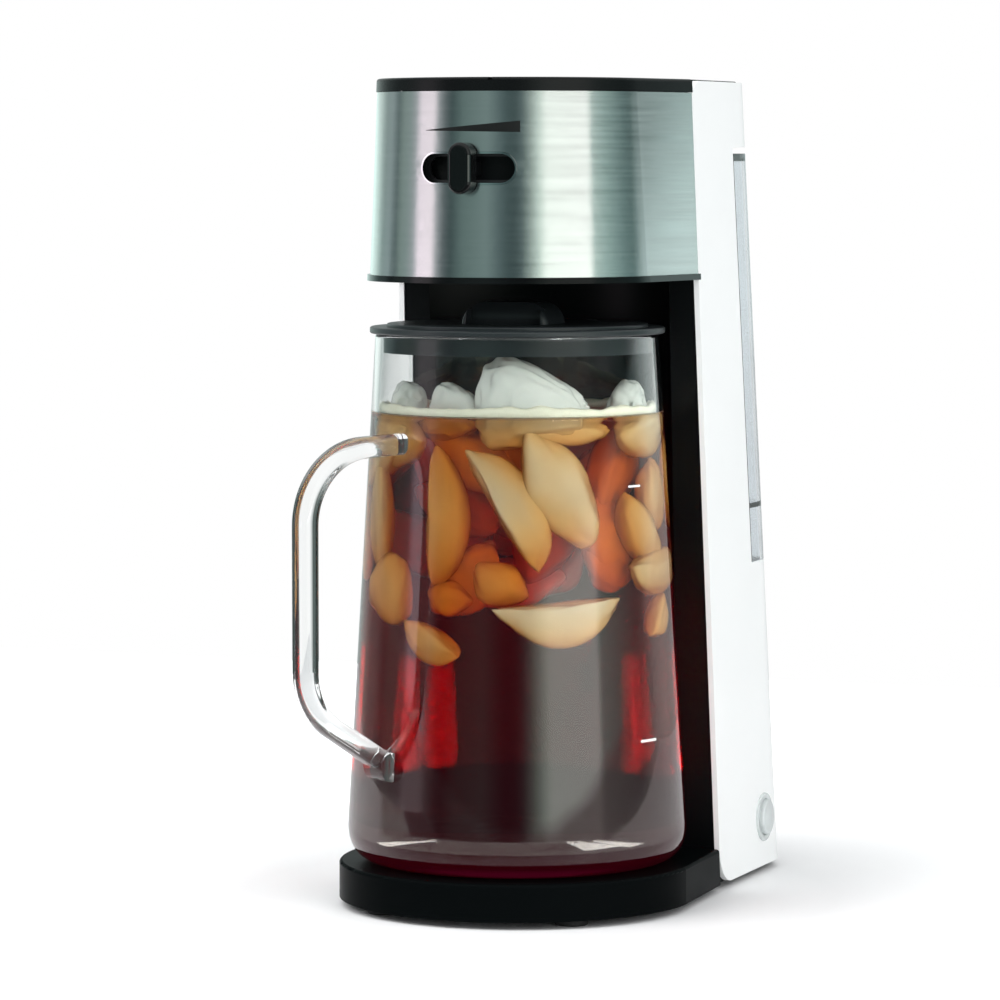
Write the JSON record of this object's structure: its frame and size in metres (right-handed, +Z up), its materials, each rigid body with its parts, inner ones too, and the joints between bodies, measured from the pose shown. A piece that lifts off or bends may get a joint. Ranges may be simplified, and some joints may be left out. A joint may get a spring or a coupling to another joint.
{
  "type": "iced coffee maker",
  "caption": "Tall iced coffee maker with a round brewing head, a sliding strength selector, a lidded glass jug on a flat base and a clear rear water tank.",
  "frame": {"origin": "centre of the bounding box's footprint, at the floor", "axes": "+Z up, front with the strength selector towards -Y, switch side towards +X"},
  "size_m": [0.1648, 0.2792, 0.38],
  "materials": {
    "black_plastic": "satin",
    "gloss_black": "gloss",
    "white_plastic": "gloss",
    "inner_plastic": "matte",
    "grey_plastic": "matte",
    "steel": "brushed",
    "mesh_steel": "satin",
    "zinc_steel": "bright",
    "rim_chrome": "bright",
    "jug_glass": "clear",
    "tank_clear": "clear tinted",
    "rubber_black": "matte",
    "silicone": "satin",
    "aluminium": "satin",
    "element_sheath": "satin",
    "button_clear": "frosted",
    "lamp_red": "gloss",
    "wire_sleeve": "satin",
    "brass": "bright"
  },
  "bodies": {
    "machine": {"base_shell": "black_plastic", "bottom_plate": "inner_plastic", "rubber_feet": "rubber_black", "plate_screws": "zinc_steel", "outer_housing": "white_plastic", "tank_bay": "inner_plastic", "top_deck": "black_plastic", "column_panel": "black_plastic", "head_shell": "inner_plastic", "steel_band": "steel", "head_trim": "gloss_black", "brew_well": "inner_plastic", "slot_liner": "rim_chrome", "inlet_socket": "inner_plastic", "check_valve": "inner_plastic", "inlet_hose": "silicone", "feed_hose": "silicone", "riser_hose": "silicone", "water_nozzle": "inner_plastic", "heater_tube": "aluminium", "heating_element": "element_sheath", "heater_block": "aluminium", "heater_bracket": "zinc_steel", "thermostat": "brass", "thermal_fuse": "grey_plastic", "terminal_block": "grey_plastic", "button_bezel": "rim_chrome", "button_spring": "zinc_steel", "switch_body": "inner_plastic", "indicator_lamp": "lamp_red", "cord_gland": "rubber_black", "wiring": "wire_sleeve", "hose_clamps": "zinc_steel"},
    "knob": {"strength_knob": "gloss_black", "selector_ring": "inner_plastic"},
    "basket": {"brew_basket": "inner_plastic", "filter_frame": "inner_plastic", "filter_mesh": "mesh_steel", "spray_plate": "inner_plastic"},
    "lid": {"head_lid": "black_plastic", "lid_hinge_pins": "zinc_steel"},
    "jug": {"jug_body": "jug_glass", "jug_handle": "jug_glass"},
    "jug_cover": {"jug_lid": "black_plastic"},
    "tank": {"water_tank": "tank_clear", "tank_cover": "tank_clear", "tank_outlet": "inner_plastic", "outlet_seal": "silicone"},
    "button": {"on_off_button": "button_clear"}
  },
  "joints": [
    {"name": "strength_turn", "type": "hinge", "parent": "machine", "child": "knob", "pos_m": [0, -0.03039, 0.3394], "axis": [0, 0, 1], "range_deg": [-13, 13]},
    {"name": "basket_lift", "type": "slide", "parent": "machine", "child": "basket", "axis": [0, 0, 1], "range_m": [0, 0.1]},
    {"name": "lid_hinge", "type": "hinge", "parent": "basket", "child": "lid", "pos_m": [0, 0.02161, 0.377], "axis": [-1, 0, 0], "range_deg": [0, 95]},
    {"name": "jug_slide", "type": "slide", "parent": "machine", "child": "jug", "axis": [0, -1, 0], "range_m": [0, 0.2]},
    {"name": "jug_lid_lift", "type": "slide", "parent": "jug", "child": "jug_cover", "axis": [0, 0, 1], "range_m": [0, 0.009]},
    {"name": "tank_slide", "type": "slide", "parent": "machine", "child": "tank", "axis": [0, 1, 0], "range_m": [0, 0.2]},
    {"name": "button_press", "type": "slide", "parent": "machine", "child": "button", "axis": [-0.9999, 0, -0.0171], "range_m": [0, 0.002], "stiffness_N_per_m": 400, "deforming": ["button_spring"]}
  ]
}
